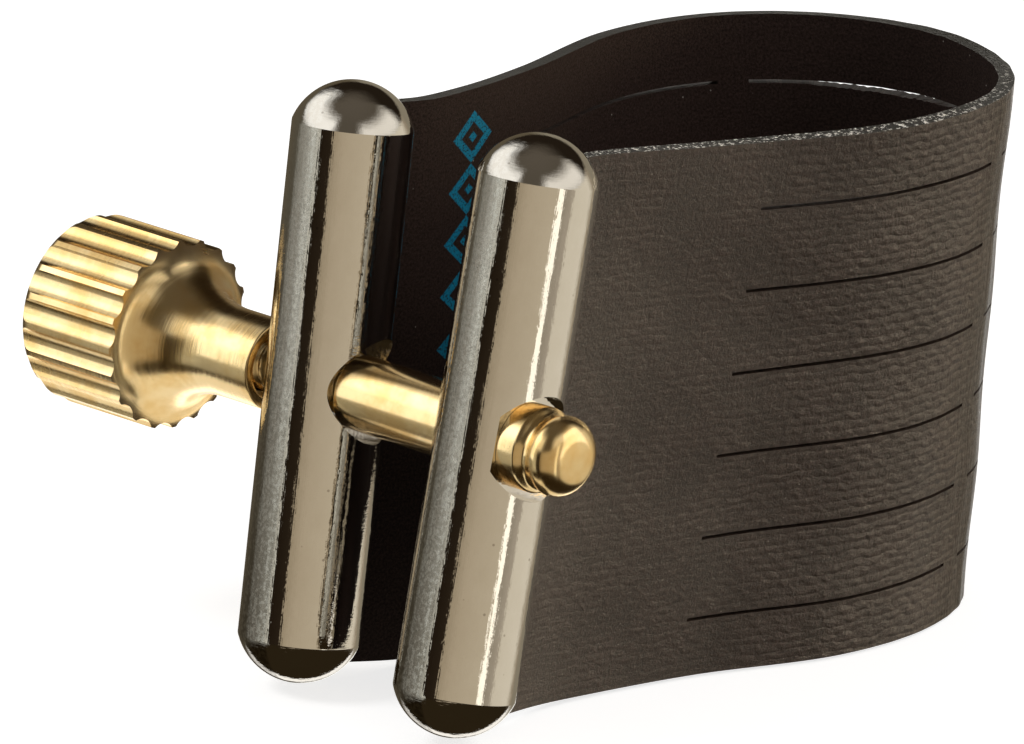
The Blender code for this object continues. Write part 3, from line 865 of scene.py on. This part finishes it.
def ceiling(g, degrees, rise):
    """A dim ceiling, darkest behind the object, with a softbox on each side."""
    turned_away = g.math("ABSOLUTE", g.math("ADD", degrees, 180.0 - CAMERA_AZIMUTH))
    from_camera = g.math("ABSOLUTE", g.math("SUBTRACT", turned_away, 180.0))
    behind = g.remap(from_camera, 112.0, 128.0)
    low = g.mix_colour(behind, rgb(0.085, 0.072, 0.055), rgb(0.016, 0.011, 0.007))
    colour = g.mix_colour(g.remap(rise, 44.0, 82.0), low, rgb(0.095, 0.080, 0.062))
    for azimuths, rises, light in SOFTBOXES:
        box = g.math("MULTIPLY", g.window(degrees, *azimuths, SOFTBOX_EDGE),
                     g.window(rise, *rises, SOFTBOX_EDGE))
        colour = g.mix_colour(box, colour, light)
    return colour


def ground(g, direction):
    """A dark ground with a bright ring round the direction straight away from the camera."""
    through = g.add("ShaderNodeVectorMath", {0: direction, 1: AWAY_FROM_CAMERA},
                    operation="DOT_PRODUCT").outputs["Value"]
    from_through = g.math("MULTIPLY", g.math("ARCCOSINE", through), 180.0 / math.pi)
    ring = g.window(from_through, *GROUND_RING, 1.5)
    return g.mix_colour(ring, rgb(0.022, 0.015, 0.007), rgb(1.05, 1.02, 0.97))


def studio_world():
    """What the metal mirrors; the camera sees plain white, and diffuse light is an even grey."""
    world = bpy.data.worlds.new("studio")
    bpy.context.scene.world = world
    world.use_nodes = True
    g = Graph(world.node_tree)
    direction = g.add("ShaderNodeTexCoord").outputs["Generated"]
    parts = g.add("ShaderNodeSeparateXYZ", {"Vector": direction})
    degrees = g.azimuth(parts)
    rise = g.math("MULTIPLY", g.math("ARCSINE", parts.outputs["Z"]), 180.0 / math.pi)
    level = level_bands(g, direction, degrees, rise)
    colour = g.mix_colour(g.remap(rise, *CEILING_START), level, ceiling(g, degrees, rise))
    colour = g.mix_colour(g.remap(rise, *GROUND_START), colour, ground(g, direction))
    rays = g.add("ShaderNodeLightPath")
    soft = g.mix_colour(rays.outputs["Is Diffuse Ray"], colour, rgb(0.30, 0.285, 0.27))
    colour = g.mix_colour(rays.outputs["Is Camera Ray"], soft, rgb(1.0, 1.0, 1.0))
    shade = g.add("ShaderNodeBackground", {"Color": colour, "Strength": 1.0})
    g.add("ShaderNodeOutputWorld", {"Surface": shade.outputs["Background"]})


FLOOR_SIZE = 6.0
FLOOR_Z = -0.2 * MM
LAMP_DISTANCE = 0.5
LAMP_AIM = Vector((0.0, 0.0, 0.015))


def make_floor():
    material, g = material_graph("pale_floor")
    shader = principled(g, {"Base Color": rgb(0.6, 0.6, 0.6), "Roughness": 0.9,
                            "Emission Color": rgb(1.0, 1.0, 1.0), "Emission Strength": 0.75})
    shader.inputs["Specular IOR Level"].default_value = 0.1
    bpy.ops.mesh.primitive_grid_add(x_subdivisions=8, y_subdivisions=8, size=FLOOR_SIZE,
                                    location=(0.0, 0.0, FLOOR_Z))
    floor = bpy.context.object
    floor.name = "floor"
    floor.data.materials.append(material)
    floor.visible_glossy = False
    floor.visible_diffuse = False


def area_light(name, location, back, size, power, colour, only):
    """A panel lamp that shines away from its back; if it lights only some pieces, they mirror it too."""
    data = bpy.data.lights.new(name, "AREA")
    data.shape = "RECTANGLE"
    data.size, data.size_y = size
    data.energy = power
    data.color = colour
    light = bpy.data.objects.new(name, data)
    light.location = location
    light.rotation_euler = back.to_track_quat("Z", "Y").to_euler()
    light.visible_camera = False
    light.visible_glossy = only is not None
    bpy.context.scene.collection.objects.link(light)
    if only is not None:
        lit = bpy.data.collections.new(name + "_pieces")
        for piece in only:
            lit.objects.link(piece)
        light.light_linking.receiver_collection = lit


def far_lamp(name, azimuth, elevation, size, power, colour=(1.0, 1.0, 1.0), only=None):
    """A panel lamp at the far lamps' distance, facing the object."""
    back = toward(azimuth, elevation)
    area_light(name, LAMP_AIM + back * LAMP_DISTANCE, back, size, power, colour, only)


def make_lights(strap, brass):
    """Two lamps for everything, two that rake the strap, and three that fill the brass."""
    far_lamp("key_left", -30.0, 48.0, (0.16, 0.16), 0.7)
    far_lamp("fill_right", 118.0, 42.0, (0.14, 0.20), 0.9, (1.0, 0.97, 0.93))
    far_lamp("strap_rake", 150.0, 8.0, (0.24, 0.12), 1.0, (1.0, 0.85, 0.60), only=[strap])
    far_lamp("strap_sheen", 211.0, 12.0, (0.09, 0.30), 2.0, (1.0, 0.96, 0.88), only=[strap])
    far_lamp("brass_left", -50.0, 20.0, (0.34, 0.52), 0.58, (1.0, 0.99, 0.95), only=brass)
    far_lamp("brass_right", 124.0, 14.0, (0.38, 0.50), 0.55, (1.0, 0.98, 0.93), only=brass)
    area_light("brass_under", Vector((-0.014, -0.008, 0.001)), Vector((0.0, 0.0, -1.0)),
               (0.05, 0.05), 0.007, (1.0, 0.96, 0.88), only=brass)


# ---------------------------------------------------------------- assembly

strap = make_strap()
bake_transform(strap)
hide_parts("strap")

rear_rod, front_rod = make_rods()
knob, stud, nut = make_knob(), make_stud(), make_barrel_nut()
PIECES = [(rear_rod, "rear_slider", "rear_rod", "nickel_plate"),
          (front_rod, "loop", "front_rod", "nickel_plate"),
          (knob, "thumbscrew", "thumbscrew_knob", "knob_brass"),
          (stud, "thumbscrew", "threaded_stud", "stud_brass"),
          (nut, "nut", "barrel_nut", "barrel_brass")]
for piece, body, node, slot in PIECES:
    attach(piece, body)
    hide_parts(node)

make_camera()
studio_world()
make_floor()
make_lights(strap, [knob, stud, nut])
bpy.context.scene.view_settings.view_transform = "Standard"
